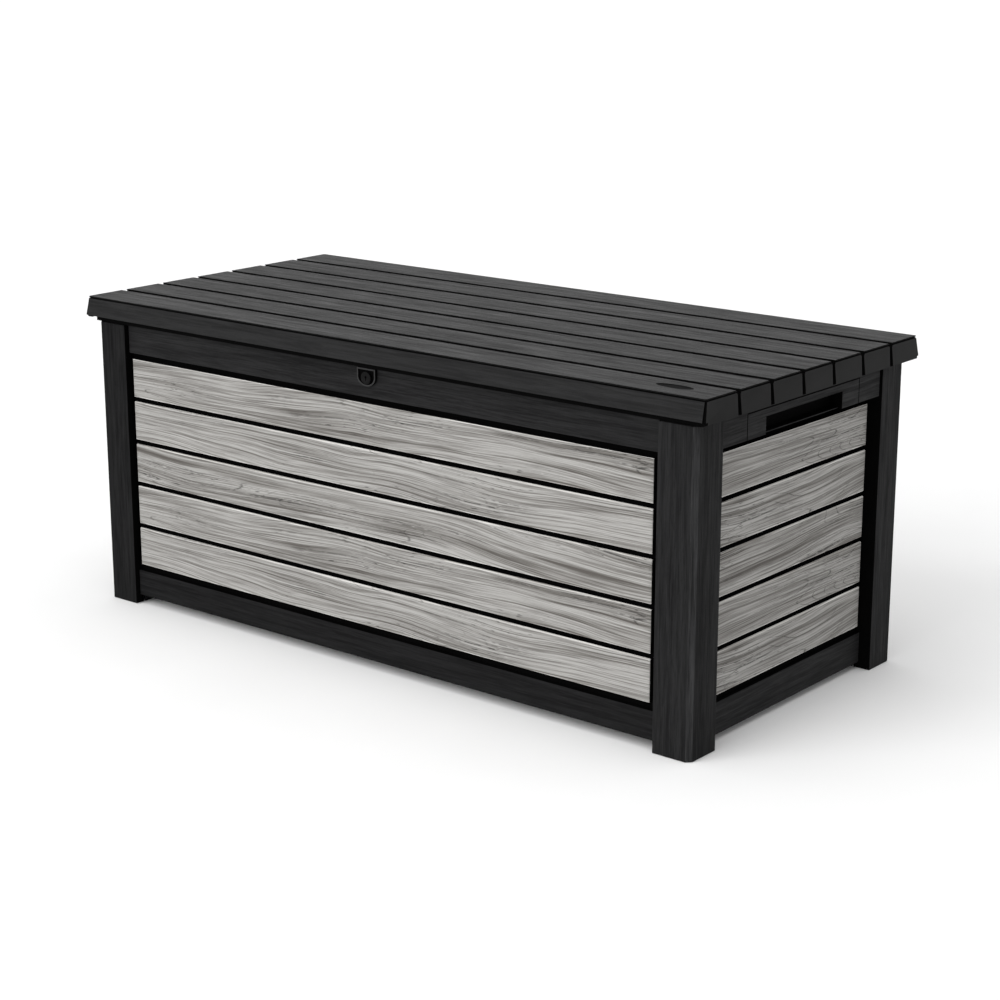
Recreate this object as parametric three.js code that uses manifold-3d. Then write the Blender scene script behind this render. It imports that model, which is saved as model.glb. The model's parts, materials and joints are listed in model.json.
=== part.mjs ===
// Deck storage box: a slatted, hinged lid on a frame of four corner posts, four moulded wall
// panels and twenty wood-look planks, with a cam lock, two gas struts and a grip in each end.
// Millimetres, +Z up. The origin is the middle of the footprint on the ground; the front is -Y.
import * as THREE from "three";
import { mergeVertices } from "three/addons/utils/BufferGeometryUtils.js";
import Module from "manifold-3d";

const wasm = await Module();
wasm.setup();

const GAP = 0.3; // clearance between pieces that touch

// Lid
const LID_HALF_X = 774;
const LID_HALF_Y = 362;
const LID_TOP_HALF_X = 770; // the side faces lean in towards the top
const LID_TOP_HALF_Y = 354;
const LID_Z0 = 608;
const LID_LONG_Z0 = 612.5; // the long sides stop short, to leave room for the fingers
const LID_Z1 = 651.5;
const LID_EDGE = 1; // softened edge round the top
const LID_CORNER_R = 3;
const LID_CAVITY_X = 762;
const LID_CAVITY_Y = 353;
const LID_CAVITY_Z = 638.5;
const LID_POCKET_X = 760; // the pocket under each slat
const LID_POCKET_Y = 346;
const LID_POCKET_Z = 646;
const SLAT_PITCH = 102.4;
const SLAT_GROOVES_Y = [-2.5, -1.5, -0.5, 0.5, 1.5, 2.5].map((n) => n * SLAT_PITCH);
const GROOVE_HALF = 6;
const NOTCH_HALF = 4.5; // the grooves are narrower where they run down the end faces
const GROOVE_DEPTH = 7;
const GROOVE_WALL = 4.5; // resin left beside each groove
const GROOVE_END_X = 766.5; // how deep the grooves run into the end faces
const LINE_DEPTH = 3; // shadow line round the lid under the top, and notch down each corner
const LINE_Z = [647, 650];

// Liner under the lid
const LINER_HALF_X = 757;
const LINER_HALF_Y = 345;
const LINER_WALL = 5;
const LINER_Z0 = 600.6;
const LINER_PLATE_Z0 = 634.8;
const LINER_Z1 = 638;
const LINER_RIB_Z0 = 615;
const LINER_RIBS_Y = [-165, 0, 165];
const LINER_RIBS_X = [-450, -150, 150, 450];

// Corner posts
const POST_X = 750;
const POST_Y = 348;
const POST_SIZE = 80;
const POST_CHAMFER = 9.5;
const POST_TOP = 600;
const POST_WALL = 5;

// Wall panels: a backing sheet with a rail along the top and the bottom
const PANEL_Z0 = 19;
const END_PANEL_Z0 = 13;
const PANEL_Z1 = 600;
const BOTTOM_RAIL_Z1 = 74;
const TOP_RAIL_Z0 = 542.5;
const END_TOP_RAIL_Z0 = 545.5;
const BACKING = 4;
const RAIL_END_GAP = 3; // shadow gap between a rail and the posts
const LONG_RAIL_FACE = 339; // outer face of the front and back rails
const LONG_BACKING_FACE = 327.7;
const END_TOP_RAIL_FACE = 746;
const END_BOTTOM_RAIL_FACE = 727;
const END_BACKING_FACE = 714.7;
const TONGUE = 10; // how far each backing sheet reaches into the posts
const TONGUE_Z1 = 594;
const LEDGE = 12; // shelf that carries the floor
const LEDGE_Z1 = 31;

// Planks
const PLANK_COUNT = 5;
const PLANK_HEIGHT = 82;
const PLANK_PITCH = 90.6;
const PLANK_Z0 = 87.5;
const PLANK_DEPTH = 12;
const PLANK_EDGE = 2;
const PLANK_WALL = 3.5;
const LONG_PLANK_HALF = 657;
const END_PLANK_HALF = 256;

// Floor
const FLOOR_Z0 = LEDGE_Z1 + GAP;
const FLOOR_THICKNESS = 4;
const FLOOR_RIB_Z0 = 22;

// Grips in the end panels
const GRIP_HALF_Y = 188;
const GRIP_TOP = 593.5;
const GRIP_BACK_X = 716;
const GRIP_SLOT_HALF_Y = 128;
const GRIP_SLOT_Z0 = 549;
const GRIP_SLOT_Z1 = 578;
const GRIP_SLOT_BACK_X = 720;
const GRIP_SILL_X = 738; // front of the sill under the slot, set back from the face
const GRIP_LIP = 6;
const GRIP_HOOK_TOP = 588;

// Oval plate let into the lid
const PLATE_X = 671;
const PLATE_Y = -302;
const PLATE_HALF_X = 38;
const PLATE_HALF_Y = 13;
const PLATE_SEAT_Z = 649.1;

// Lock
const LOCK_Z = 581;
const LOCK_BODY_R = 10;
const LOCK_HEAD_R = 12;
const CAM_LENGTH = 32;
const CAM_HALF_WIDTH = 6;

// Hinges
const HINGE_Y = 354;
const HINGE_Z = 601;
const HINGES_X = [-480, 0, 480];
const HINGE_HALF = 50;
const HINGE_LID_KNUCKLE = 17.7;
const HINGE_BARREL_R = 5.5;
const HINGE_BORE_R = 2.8;
const HINGE_PIN_R = 2.5;

// Gas struts: both pivots lie at the same distance from the lid's hinge axis, so the strut
// turns exactly half as far as the lid does.
const STRUT_X = 650;
const STRUT_FOOT_Y = 285;
const STRUT_FOOT_Z = 360;
const STRUT_HEAD_Z = 609;
const STRUT_ARM = Math.hypot(HINGE_Y - STRUT_FOOT_Y, HINGE_Z - STRUT_FOOT_Z);
const STRUT_HEAD_Y = HINGE_Y - Math.sqrt(STRUT_ARM ** 2 - (STRUT_HEAD_Z - HINGE_Z) ** 2);
const STRUT_LENGTH = Math.hypot(STRUT_FOOT_Y - STRUT_HEAD_Y, STRUT_HEAD_Z - STRUT_FOOT_Z);
const STRUT_LEAN = Math.atan2(STRUT_FOOT_Y - STRUT_HEAD_Y, STRUT_HEAD_Z - STRUT_FOOT_Z);
const TUBE_END = 240;
const TUBE_R = 9;
const TUBE_BORE_R = 5;
const ROD_START = 35;
const ROD_R = 4;
const EYE_R = 9;
const EYE_BORE_R = 4.3;
const STUD_R = 4;

const ROUND = 24; // sides of a round section

const group = new THREE.Group();

// ---- solids from three.js geometry ----

function solid(geometry) {
  const bare = geometry.clone();
  bare.deleteAttribute("normal");
  bare.deleteAttribute("uv");
  const merged = mergeVertices(bare, 1e-4);
  const vertProperties = merged.attributes.position.array;
  const triVerts = new Uint32Array(merged.index.array);
  return new wasm.Manifold(new wasm.Mesh({ numProp: 3, vertProperties, triVerts }));
}

function box([x0, x1], [y0, y1], [z0, z1]) {
  const geometry = new THREE.BoxGeometry(Math.abs(x1 - x0), Math.abs(y1 - y0), z1 - z0);
  return solid(geometry.translate((x0 + x1) / 2, (y0 + y1) / 2, (z0 + z1) / 2));
}

// A round bar along "x", "y" or "z" from a to b; centre holds the two other coordinates.
function bar(axis, radius, a, b, [c0, c1], sides = ROUND) {
  const length = Math.abs(b - a);
  const middle = (a + b) / 2;
  const geometry = new THREE.CylinderGeometry(radius, radius, length, sides);
  if (axis === "x") {
    geometry.rotateZ(-Math.PI / 2).translate(middle, c0, c1);
  } else if (axis === "y") {
    geometry.translate(c0, middle, c1);
  } else {
    geometry.rotateX(Math.PI / 2).translate(c0, c1, middle);
  }
  return solid(geometry);
}

function outline(points) {
  return new THREE.Shape(points.map(([u, v]) => new THREE.Vector2(u, v)));
}

const X = new THREE.Vector3(1, 0, 0);
const Y = new THREE.Vector3(0, 1, 0);
const Z = new THREE.Vector3(0, 0, 1);

// A flat outline pushed along an axis: (y, z) along X, (x, z) along Y, or (x, y) along Z.
function prism(axis, shape, a, b, curveSegments = 6) {
  const settings = { depth: b - a, bevelEnabled: false, curveSegments };
  const geometry = new THREE.ExtrudeGeometry(shape, settings);
  if (axis === "x") {
    geometry.applyMatrix4(new THREE.Matrix4().makeBasis(Y, Z, X)).translate(a, 0, 0);
  } else if (axis === "y") {
    geometry.applyMatrix4(new THREE.Matrix4().makeBasis(X, Z, Y.clone().negate()));
    geometry.translate(0, b, 0);
  } else {
    geometry.translate(0, 0, a);
  }
  return solid(geometry);
}

function roundedRect(halfX, halfY, radius) {
  const shape = new THREE.Shape();
  shape.moveTo(-halfX + radius, -halfY);
  shape.lineTo(halfX - radius, -halfY);
  shape.absarc(halfX - radius, -halfY + radius, radius, -Math.PI / 2, 0);
  shape.lineTo(halfX, halfY - radius);
  shape.absarc(halfX - radius, halfY - radius, radius, 0, Math.PI / 2);
  shape.lineTo(-halfX + radius, halfY);
  shape.absarc(-halfX + radius, halfY - radius, radius, Math.PI / 2, Math.PI);
  shape.lineTo(-halfX, -halfY + radius);
  shape.absarc(-halfX + radius, -halfY + radius, radius, Math.PI, Math.PI * 1.5);
  return shape;
}

function ellipse(halfX, halfY) {
  return new THREE.Shape().absellipse(0, 0, halfX, halfY, 0, Math.PI * 2);
}

// A block whose rounded outline shrinks from its lower to its upper face.
function taperedBlock([lowX, lowY], [highX, highY], z0, z1) {
  const settings = { depth: z1 - z0, bevelEnabled: false, curveSegments: 5 };
  const shape = roundedRect(LID_HALF_X, LID_HALF_Y, LID_CORNER_R);
  const geometry = new THREE.ExtrudeGeometry(shape, settings).translate(0, 0, z0);
  const position = geometry.attributes.position;
  for (let i = 0; i < position.count; i++) {
    const high = position.getZ(i) > (z0 + z1) / 2;
    const scaleX = (high ? highX : lowX) / LID_HALF_X;
    const scaleY = (high ? highY : lowY) / LID_HALF_Y;
    position.setX(i, position.getX(i) * scaleX);
    position.setY(i, position.getY(i) * scaleY);
  }
  return solid(geometry);
}

// Orders a pair of distances measured towards one side of the box.
function towards(side, near, far) {
  return side > 0 ? [near, far] : [-far, -near];
}

function join(pieces) {
  return pieces.reduce((sum, piece) => sum.add(piece));
}

function cut(body, pieces) {
  return pieces.reduce((rest, piece) => rest.subtract(piece), body);
}

// ---- materials ----

const LOOKS = {
  lid_resin: ["#4a4a4c", 0.62, 0],
  frame_resin: ["#2e2e30", 0.6, 0],
  liner_resin: ["#242426", 0.7, 0],
  plank_resin: ["#a09c96", 0.72, 0],
  dark_plate: ["#1c1c1e", 0.45, 0],
  lock_metal: ["#5b5c5e", 0.35, 1],
  hinge_steel: ["#3a3b3d", 0.45, 1],
  strut_body: ["#151516", 0.35, 0.6],
  strut_rod: ["#c4c6c8", 0.15, 1],
};

function addPart(name, body, look, parent = group) {
  const data = body.getMesh();
  const geometry = new THREE.BufferGeometry();
  geometry.setAttribute("position", new THREE.BufferAttribute(data.vertProperties, 3));
  geometry.setIndex(new THREE.BufferAttribute(data.triVerts, 1));
  const [color, roughness, metalness] = LOOKS[look];
  const material = new THREE.MeshStandardMaterial({ color, roughness, metalness });
  material.flatShading = true;
  const mesh = new THREE.Mesh(geometry, material);
  mesh.name = name;
  parent.add(mesh);
}

// ---- corner posts: hollow below, chamfered on the outer corner, slotted for the panels ----

function postOutline(sideX, sideY, wall) {
  const x0 = POST_X - POST_SIZE + wall;
  const x1 = POST_X - wall;
  const y0 = POST_Y - POST_SIZE + wall;
  const y1 = POST_Y - wall;
  const chamfer = POST_CHAMFER - wall * (2 - Math.SQRT2);
  const corners = [
    [x0, y0],
    [x1, y0],
    [x1, y1 - chamfer],
    [x1 - chamfer, y1],
    [x0, y1],
  ];
  return outline(corners.map(([x, y]) => [sideX * x, sideY * y]));
}

function post(sideX, sideY) {
  const innerX = POST_X - POST_SIZE;
  const innerY = POST_Y - POST_SIZE;
  const longSlot = [LONG_BACKING_FACE - BACKING - GAP, LONG_BACKING_FACE + GAP];
  const endSlot = [END_BACKING_FACE - BACKING - GAP, END_BACKING_FACE + GAP];
  const slotZ = [-1, TONGUE_Z1 + GAP];
  return cut(prism("z", postOutline(sideX, sideY, 0), 0, POST_TOP), [
    prism("z", postOutline(sideX, sideY, POST_WALL), -1, POST_TOP - POST_WALL),
    box(towards(sideX, innerX - 1, innerX + POST_WALL + 1), towards(sideY, ...longSlot), slotZ),
    box(towards(sideX, ...endSlot), towards(sideY, innerY - 1, innerY + POST_WALL + 1), slotZ),
  ]);
}

for (const [rowName, sideY] of [["front", -1], ["back", 1]]) {
  for (const [columnName, sideX] of [["left", -1], ["right", 1]]) {
    addPart(`corner_post_${rowName}_${columnName}`, post(sideX, sideY), "frame_resin");
  }
}

// ---- wall panels ----

function longPanel(side) {
  const half = POST_X - POST_SIZE - GAP;
  const inner = LONG_BACKING_FACE - BACKING;
  const rail = towards(side, LONG_BACKING_FACE - 1, LONG_RAIL_FACE);
  const backing = towards(side, inner, LONG_BACKING_FACE);
  const railX = [-half + RAIL_END_GAP, half - RAIL_END_GAP];
  return join([
    box([-half, half], backing, [PANEL_Z0, PANEL_Z1]),
    box([-half - TONGUE, half + TONGUE], backing, [PANEL_Z0, TONGUE_Z1]),
    box(railX, rail, [TOP_RAIL_Z0, PANEL_Z1]),
    box(railX, rail, [PANEL_Z0, BOTTOM_RAIL_Z1]),
    box([-half, half], towards(side, inner - LEDGE, inner + 1), [PANEL_Z0, LEDGE_Z1]),
  ]);
}

function endPanel(side) {
  const half = POST_Y - POST_SIZE - GAP;
  const inner = END_BACKING_FACE - BACKING;
  const topRail = towards(side, END_BACKING_FACE - 1, END_TOP_RAIL_FACE);
  const bottomRail = towards(side, END_BACKING_FACE - 1, END_BOTTOM_RAIL_FACE);
  const backing = towards(side, inner, END_BACKING_FACE);
  const pocketX = towards(side, GRIP_BACK_X - GAP, END_TOP_RAIL_FACE + 1);
  const pocketY = [-GRIP_HALF_Y - GAP, GRIP_HALF_Y + GAP];
  const railY = [-half + RAIL_END_GAP, half - RAIL_END_GAP];
  const body = join([
    box(backing, [-half, half], [END_PANEL_Z0, PANEL_Z1]),
    box(backing, [-half - TONGUE, half + TONGUE], [END_PANEL_Z0, TONGUE_Z1]),
    box(topRail, railY, [END_TOP_RAIL_Z0, PANEL_Z1]),
    box(bottomRail, railY, [END_PANEL_Z0, BOTTOM_RAIL_Z1]),
    box(towards(side, inner - LEDGE, inner + 1), [-half, half], [PANEL_Z0, LEDGE_Z1]),
  ]);
  return cut(body, [box(pocketX, pocketY, [END_TOP_RAIL_Z0 - 1, GRIP_TOP + GAP])]);
}

const lockHole = bar("y", LOCK_BODY_R + 0.5, -LONG_RAIL_FACE - 5, -300, [0, LOCK_Z]);
addPart("front_panel", cut(longPanel(-1), [lockHole]), "frame_resin");
addPart("back_panel", longPanel(1), "frame_resin");
addPart("left_panel", endPanel(-1), "frame_resin");
addPart("right_panel", endPanel(1), "frame_resin");

// ---- planks: open at the back, and numbered from the bottom up ----

// Outline across a plank: outward distance and height, with softened outer edges.
function plankOutline(side, back, z0) {
  const face = back + PLANK_DEPTH;
  const z1 = z0 + PLANK_HEIGHT;
  const corners = [
    [back, z0],
    [face - PLANK_EDGE, z0],
    [face, z0 + PLANK_EDGE],
    [face, z1 - PLANK_EDGE],
    [face - PLANK_EDGE, z1],
    [back, z1],
  ];
  return outline(corners.map(([out, z]) => [side * out, z]));
}

// The range along a plank that its hollow back leaves open.
function hollowSpan(half) {
  return [-half + PLANK_WALL, half - PLANK_WALL];
}

for (let row = 0; row < PLANK_COUNT; row++) {
  const z0 = PLANK_Z0 + row * PLANK_PITCH;
  const hollowZ = [z0 + PLANK_WALL, z0 + PLANK_HEIGHT - PLANK_WALL];
  for (const [wall, side] of [["front", -1], ["back", 1]]) {
    const back = LONG_BACKING_FACE + GAP;
    const blank = prism("x", plankOutline(side, back, z0), -LONG_PLANK_HALF, LONG_PLANK_HALF);
    const hollowY = towards(side, back - 1, back + PLANK_DEPTH - PLANK_WALL);
    const plank = cut(blank, [box(hollowSpan(LONG_PLANK_HALF), hollowY, hollowZ)]);
    addPart(`${wall}_plank_${row + 1}`, plank, "plank_resin");
  }
  for (const [wall, side] of [["left", -1], ["right", 1]]) {
    const back = END_BACKING_FACE + GAP;
    const blank = prism("y", plankOutline(side, back, z0), -END_PLANK_HALF, END_PLANK_HALF);
    const hollowX = towards(side, back - 1, back + PLANK_DEPTH - PLANK_WALL);
    const plank = cut(blank, [box(hollowX, hollowSpan(END_PLANK_HALF), hollowZ)]);
    addPart(`${wall}_plank_${row + 1}`, plank, "plank_resin");
  }
}

// ---- floor: a ribbed sheet, notched round the posts ----

function floorPanel() {
  const halfX = END_BACKING_FACE - BACKING - GAP;
  const halfY = LONG_BACKING_FACE - BACKING - GAP;
  const ribLengthX = halfX - LEDGE - 2;
  const ribLengthY = halfY - LEDGE - 2;
  const ribZ = [FLOOR_RIB_Z0, FLOOR_Z0 + 1];
  const parts = [box([-halfX, halfX], [-halfY, halfY], [FLOOR_Z0, FLOOR_Z0 + FLOOR_THICKNESS])];
  for (const y of [-210, -70, 70, 210]) {
    parts.push(box([-ribLengthX, ribLengthX], [y - 2, y + 2], ribZ));
  }
  for (const x of [-600, -360, -120, 120, 360, 600]) {
    parts.push(box([x - 2, x + 2], [-ribLengthY, ribLengthY], ribZ));
  }
  const notches = [];
  for (const sideX of [-1, 1]) {
    for (const sideY of [-1, 1]) {
      const x = towards(sideX, POST_X - POST_SIZE - 0.6, POST_X);
      const y = towards(sideY, POST_Y - POST_SIZE - 0.6, POST_Y);
      notches.push(box(x, y, [0, 60]));
    }
  }
  return cut(join(parts), notches);
}

addPart("floor_panel", floorPanel(), "frame_resin");

// ---- end grips: a block let into each end rail, with an undercut slot for the fingers ----

function endGrip(side) {
  const slotY = [-GRIP_SLOT_HALF_Y, GRIP_SLOT_HALF_Y];
  const block = box(
    towards(side, GRIP_BACK_X, END_TOP_RAIL_FACE),
    [-GRIP_HALF_Y, GRIP_HALF_Y],
    [END_TOP_RAIL_Z0, GRIP_TOP],
  );
  const mouthX = towards(side, GRIP_SLOT_BACK_X, END_TOP_RAIL_FACE + 1);
  const stepX = towards(side, GRIP_SILL_X, END_TOP_RAIL_FACE + 1);
  const hookX = towards(side, GRIP_SLOT_BACK_X, END_TOP_RAIL_FACE - GRIP_LIP);
  return cut(block, [
    box(mouthX, slotY, [GRIP_SLOT_Z0, GRIP_SLOT_Z1]),
    box(stepX, slotY, [END_TOP_RAIL_Z0 - 1, GRIP_SLOT_Z0 + 1]),
    box(hookX, slotY, [GRIP_SLOT_Z1 - 1, GRIP_HOOK_TOP]),
  ]);
}

addPart("grip_left", endGrip(-1), "frame_resin");
addPart("grip_right", endGrip(1), "frame_resin");

// ---- lid shell: slats parted by grooves that turn down over the end faces ----

// Half-widths of the leaning side faces at a height.
function lidHalf(z) {
  const share = (z - LID_Z0) / (LID_Z1 - LID_Z0);
  return [
    LID_HALF_X + (LID_TOP_HALF_X - LID_HALF_X) * share,
    LID_HALF_Y + (LID_TOP_HALF_Y - LID_HALF_Y) * share,
  ];
}

function lidBlank() {
  const shoulderZ = LID_Z1 - LID_EDGE;
  const crown = [LID_TOP_HALF_X - LID_EDGE, LID_TOP_HALF_Y - LID_EDGE];
  return join([
    taperedBlock([LID_HALF_X, LID_HALF_Y], lidHalf(shoulderZ), LID_Z0, shoulderZ),
    taperedBlock(lidHalf(shoulderZ), crown, shoulderZ, LID_Z1),
  ]);
}

// The hollow underneath, with a shallow pocket below each slat.
function lidHollows() {
  const edges = [
    -LID_POCKET_Y - GROOVE_HALF - GROOVE_WALL,
    ...SLAT_GROOVES_Y,
    LID_POCKET_Y + GROOVE_HALF + GROOVE_WALL,
  ];
  const pockets = edges.slice(1).map((far, index) => box(
    [-LID_POCKET_X, LID_POCKET_X],
    [edges[index] + GROOVE_HALF + GROOVE_WALL, far - GROOVE_HALF - GROOVE_WALL],
    [LID_CAVITY_Z - 1, LID_POCKET_Z],
  ));
  const cavityX = [-LID_CAVITY_X, LID_CAVITY_X];
  const overX = [-LID_HALF_X - 1, LID_HALF_X + 1];
  return [
    box(cavityX, [-LID_CAVITY_Y, LID_CAVITY_Y], [LID_Z0 - 1, LID_CAVITY_Z]),
    box(overX, towards(-1, LID_CAVITY_Y, LID_HALF_Y + 1), [LID_Z0 - 1, LID_LONG_Z0]),
    box(overX, towards(1, LID_CAVITY_Y, LID_HALF_Y + 1), [LID_Z0 - 1, LID_LONG_Z0]),
    ...pockets,
  ];
}

function slatGrooves(y) {
  const floorZ = LID_Z1 - GROOVE_DEPTH;
  const [half, wide] = [GROOVE_HALF, GROOVE_HALF + 1.5];
  const across = [
    [y - half, floorZ],
    [y + half, floorZ],
    [y + half, LID_Z1 - 2],
    [y + wide, LID_Z1],
    [y + wide, LID_Z1 + 1],
    [y - wide, LID_Z1 + 1],
    [y - wide, LID_Z1],
    [y - half, LID_Z1 - 2],
  ];
  const [endHalf, endWide] = [NOTCH_HALF, NOTCH_HALF + 1.5];
  const down = (side) => [
    [side * GROOVE_END_X, y - endHalf],
    [side * (LID_TOP_HALF_X + 1), y - endHalf],
    [side * (LID_HALF_X + 1), y - endWide],
    [side * (LID_HALF_X + 1), y + endWide],
    [side * (LID_TOP_HALF_X + 1), y + endHalf],
    [side * GROOVE_END_X, y + endHalf],
  ];
  return [
    prism("x", outline(across), -LID_HALF_X - 1, LID_HALF_X + 1),
    prism("z", outline(down(-1)), LID_Z0 - 1, LID_Z1 + 1),
    prism("z", outline(down(1)), LID_Z0 - 1, LID_Z1 + 1),
  ];
}

// The shadow lines under the top edges, and the notches down the corners.
function lidLines() {
  const [lineX, lineY] = lidHalf(LINE_Z[0]);
  const lines = [];
  for (const side of [-1, 1]) {
    const farX = towards(side, lineX - LINE_DEPTH, LID_HALF_X + 1);
    const farY = towards(side, lineY - LINE_DEPTH, LID_HALF_Y + 1);
    lines.push(box(farX, [-LID_HALF_Y - 1, LID_HALF_Y + 1], LINE_Z));
    lines.push(box([-LID_HALF_X - 1, LID_HALF_X + 1], farY, LINE_Z));
    for (const end of [-1, 1]) {
      const [lowY, highY] = [lidHalf(LID_Z0 - 1)[1], lidHalf(LINE_Z[0] + 1)[1]];
      const lean = outline([
        [end * (lowY - LINE_DEPTH), LID_Z0 - 1],
        [end * (lowY + 2), LID_Z0 - 1],
        [end * (highY + 2), LINE_Z[0] + 1],
        [end * (highY - LINE_DEPTH), LINE_Z[0] + 1],
      ]);
      lines.push(prism("x", lean, ...towards(side, lineX - LINE_DEPTH, LID_HALF_X + 1)));
    }
  }
  return lines;
}

function lidShell() {
  const seat = prism("z", ellipse(PLATE_HALF_X + GAP, PLATE_HALF_Y + GAP), PLATE_SEAT_Z, LID_Z1 + 1, 16);
  return cut(lidBlank(), [
    ...lidHollows(),
    ...SLAT_GROOVES_Y.flatMap(slatGrooves),
    ...lidLines(),
    seat.translate([PLATE_X, PLATE_Y, 0]),
  ]);
}

addPart("lid_shell", lidShell(), "lid_resin");
const nameplate = prism("z", ellipse(PLATE_HALF_X, PLATE_HALF_Y), PLATE_SEAT_Z + GAP, LID_Z1 - 0.4, 16);
addPart("blank_oval_plate", nameplate.translate([PLATE_X, PLATE_Y, 0]), "dark_plate");

// ---- lid liner: the sheet inside the lid, with the rim that rests on the walls ----

function lidLiner() {
  const insideX = LINER_HALF_X - LINER_WALL;
  const insideY = LINER_HALF_Y - LINER_WALL;
  const ribZ = [LINER_RIB_Z0, LINER_PLATE_Z0 + 1];
  const body = cut(box([-LINER_HALF_X, LINER_HALF_X], [-LINER_HALF_Y, LINER_HALF_Y],
    [LINER_Z0, LINER_Z1]), [
    box([-insideX, insideX], [-insideY, insideY], [LINER_Z0 - 1, LINER_PLATE_Z0]),
  ]);
  const ribs = [
    ...LINER_RIBS_Y.map((y) => box([-insideX - 1, insideX + 1], [y - 2.5, y + 2.5], ribZ)),
    ...LINER_RIBS_X.map((x) => box([x - 2.5, x + 2.5], [-insideY - 1, insideY + 1], ribZ)),
  ];
  return join([body, ...ribs]);
}

addPart("lid_liner", lidLiner(), "liner_resin");

// ---- lock: shield, barrel with a keyway, nut, turning cam, and the hook it catches ----

const RAIL_Y = -LONG_RAIL_FACE;

function shieldOutline(inset) {
  const halfWidth = 23 - inset;
  const top = POST_TOP - 0.5 - inset;
  const shape = new THREE.Shape();
  shape.moveTo(-halfWidth, top);
  shape.lineTo(-halfWidth, 583);
  shape.absellipse(0, 583, halfWidth, 18 - inset, Math.PI, Math.PI * 2);
  shape.lineTo(halfWidth, top);
  return shape;
}

const shield = cut(prism("y", shieldOutline(0), RAIL_Y - 6, RAIL_Y - GAP, 12), [
  prism("y", shieldOutline(3), RAIL_Y - 7, RAIL_Y - 2.3, 12),
  bar("y", LOCK_BODY_R + GAP, RAIL_Y - 7, RAIL_Y + 1, [0, LOCK_Z]),
]);
addPart("lock_shield", shield, "dark_plate");

const barrel = cut(join([
  bar("y", LOCK_BODY_R, RAIL_Y - 5, -317.4, [0, LOCK_Z]),
  bar("y", LOCK_HEAD_R, RAIL_Y - 7, RAIL_Y - 2.6, [0, LOCK_Z], 32),
]), [
  bar("y", 2.4, RAIL_Y - 8, RAIL_Y - 1, [0, LOCK_Z + 1.5], 12),
  box([-1, 1], [RAIL_Y - 8, RAIL_Y - 1], [LOCK_Z - 5.5, LOCK_Z + 2]),
]);
addPart("lock_barrel", barrel, "dark_plate");

const nutY = -(LONG_BACKING_FACE - BACKING - GAP);
const nut = cut(bar("y", 15, nutY, nutY + 4, [0, LOCK_Z], 6), [
  bar("y", LOCK_BODY_R + GAP, -325, -310, [0, LOCK_Z]),
]);
addPart("lock_nut", nut, "lock_metal");

const cam = join([
  bar("y", LOCK_BODY_R, -317.1, -314.1, [0, LOCK_Z]),
  box([-CAM_HALF_WIDTH, CAM_HALF_WIDTH], [-317.1, -314.1], [LOCK_Z, LOCK_Z + CAM_LENGTH]),
]);
addPart("lock_cam", cam, "lock_metal");

const hook = join([
  box([20, 52], [-322, -298], [LINER_PLATE_Z0 - 3.3, LINER_PLATE_Z0 - GAP]),
  box([34.5, 40], [-318.5, -312], [565, LINER_PLATE_Z0 - 2]),
  box([20, 40], [-318.5, -312], [565, 571]),
]);
addPart("lock_hook", hook, "lock_metal");

// ---- hinges ----

const HINGE_AXIS = [HINGE_Y, HINGE_Z];
const KNUCKLE_START = HINGE_LID_KNUCKLE + GAP;

HINGES_X.forEach((x, index) => {
  const bore = bar("x", HINGE_BORE_R, x - 60, x + 60, HINGE_AXIS);
  const left = [x - HINGE_HALF, x - KNUCKLE_START];
  const right = [x + KNUCKLE_START, x + HINGE_HALF];
  const leafY = LONG_RAIL_FACE + GAP;
  const bottom = HINGE_Z - HINGE_BARREL_R;
  const boxLeaf = join([
    box([x - HINGE_HALF, x + HINGE_HALF], [leafY, leafY + 3], [556, bottom + 3]),
    ...[left, right].flatMap(([x0, x1]) => [
      bar("x", HINGE_BARREL_R, x0, x1, HINGE_AXIS),
      box([x0, x1], [leafY, HINGE_Y], [bottom, bottom + 3]),
    ]),
  ]);
  const lidLeaf = join([
    bar("x", HINGE_BARREL_R, x - HINGE_LID_KNUCKLE, x + HINGE_LID_KNUCKLE, HINGE_AXIS),
    box([x - HINGE_LID_KNUCKLE, x + HINGE_LID_KNUCKLE], [349.7, 352.7], [HINGE_Z, LID_Z0 + 1]),
    box([x - HINGE_HALF, x + HINGE_HALF], [349.7, 352.7], [LID_Z0, 631]),
  ]);
  const pin = join([
    bar("x", HINGE_PIN_R, x - HINGE_HALF - 2, x + HINGE_HALF + 2, HINGE_AXIS),
    bar("x", 4, x - HINGE_HALF - 2.5, x - HINGE_HALF - GAP, HINGE_AXIS),
    bar("x", 4, x + HINGE_HALF + GAP, x + HINGE_HALF + 2.5, HINGE_AXIS),
  ]);
  addPart(`hinge_box_leaf_${index + 1}`, cut(boxLeaf, [bore]), "hinge_steel");
  addPart(`hinge_lid_leaf_${index + 1}`, cut(lidLeaf, [bore]), "hinge_steel");
  addPart(`hinge_pin_${index + 1}`, pin, "hinge_steel");
});

// ---- gas struts: built upright from the lower pivot, then leaned into place ----

function strutTube() {
  const body = join([
    bar("x", EYE_R, -5, 5, [0, 0]),
    bar("z", 5, 4, 18, [0, 0]),
    bar("z", TUBE_R, 16, TUBE_END, [0, 0]),
  ]);
  return cut(body, [
    bar("x", EYE_BORE_R, -6, 6, [0, 0]),
    bar("z", TUBE_BORE_R, 24, TUBE_END + 1, [0, 0]),
  ]);
}

function strutRod() {
  const body = join([
    bar("z", ROD_R, ROD_START, STRUT_LENGTH - 5, [0, 0]),
    bar("x", EYE_R, -5, 5, [0, STRUT_LENGTH]),
  ]);
  return cut(body, [bar("x", EYE_BORE_R, -6, 6, [0, STRUT_LENGTH])]);
}

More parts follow.
